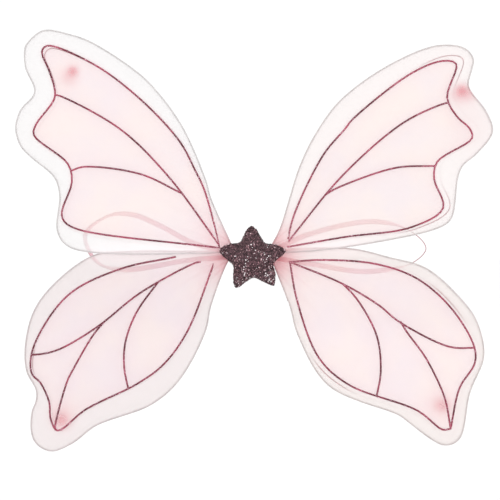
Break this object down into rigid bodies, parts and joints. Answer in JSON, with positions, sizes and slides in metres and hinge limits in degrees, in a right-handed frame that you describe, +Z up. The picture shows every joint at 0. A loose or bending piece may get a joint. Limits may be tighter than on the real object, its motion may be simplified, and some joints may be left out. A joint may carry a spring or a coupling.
{
  "type": "fairy wings",
  "caption": "Costume fairy wings with wire-edged sheer fabric wings, raised glitter veins, a padded star over the hub and elastic shoulder loops.",
  "frame": {"origin": "middle of the back pad's rear face, which rests on the wearer's back", "axes": "+X to the right as seen from the star's side, +Y from the star through the back pad towards the wearer, +Z up as worn"},
  "size_m": [0.478, 0.0586, 0.4225],
  "materials": {
    "glitter_cloth": "dark mauve cloth covered in chunky glitter",
    "stuffing": "soft polyester filling",
    "star_felt": "matte felt",
    "tape": "matte cloth tape",
    "pad_felt": "matte felt",
    "thread": "sewing thread",
    "wire": "thin coated wire",
    "wing_fabric": "sheer pale pink nylon, slightly glossy",
    "glitter_glue": "raised dark rose glue with glitter",
    "elastic": "ribbed pink elastic"
  },
  "bodies": {
    "hub": {"star_cover": "glitter_cloth", "star_filling": "stuffing", "star_backing": "star_felt", "wire_wrap": "tape", "back_pad": "pad_felt", "hub_stitches": "thread", "root_wires_left": "wire", "root_wires_right": "wire", "neck_upper_left": "wing_fabric", "neck_lower_left": "wing_fabric", "neck_upper_right": "wing_fabric", "neck_lower_right": "wing_fabric", "elastic_end_left": "elastic", "elastic_end_right": "elastic"},
    "upper_left_wing": {"wire_upper_left": "wire", "front_fabric_upper_left": "wing_fabric", "back_fabric_upper_left": "wing_fabric", "glitter_upper_left": "glitter_glue"},
    "lower_left_wing": {"wire_lower_left": "wire", "front_fabric_lower_left": "wing_fabric", "back_fabric_lower_left": "wing_fabric", "glitter_lower_left": "glitter_glue"},
    "upper_right_wing": {"wire_upper_right": "wire", "front_fabric_upper_right": "wing_fabric", "back_fabric_upper_right": "wing_fabric", "glitter_upper_right": "glitter_glue"},
    "lower_right_wing": {"wire_lower_right": "wire", "front_fabric_lower_right": "wing_fabric", "back_fabric_lower_right": "wing_fabric", "glitter_lower_right": "glitter_glue"},
    "left_loop": {"elastic_loop_left": "elastic"},
    "right_loop": {"elastic_loop_right": "elastic"}
  },
  "joints": [
    {"name": "fold_left", "type": "hinge", "parent": "hub", "child": "lower_left_wing", "pos_m": [-0.037, -0.0082, 0.008], "axis": [0, 0, 1], "range_deg": [-8, 60]},
    {"name": "lean_upper_left", "type": "hinge", "parent": "lower_left_wing", "child": "upper_left_wing", "pos_m": [-0.037, -0.0082, 0.008], "axis": [0, 0, 1], "range_deg": [0, 15]},
    {"name": "fold_right", "type": "hinge", "parent": "hub", "child": "lower_right_wing", "pos_m": [0.037, -0.0082, 0.008], "axis": [0, 0, -1], "range_deg": [-8, 60]},
    {"name": "lean_upper_right", "type": "hinge", "parent": "lower_right_wing", "child": "upper_right_wing", "pos_m": [0.037, -0.0082, 0.008], "axis": [0, 0, -1], "range_deg": [0, 15]},
    {"name": "left_loop_swing", "type": "hinge", "parent": "hub", "child": "left_loop", "pos_m": [-0.0189, -0.0026, 0.0035], "axis": [0, 0, -1], "range_deg": [0, 70]},
    {"name": "right_loop_swing", "type": "hinge", "parent": "hub", "child": "right_loop", "pos_m": [0.0189, -0.0026, 0.0035], "axis": [0, 0, 1], "range_deg": [0, 70]}
  ]
}
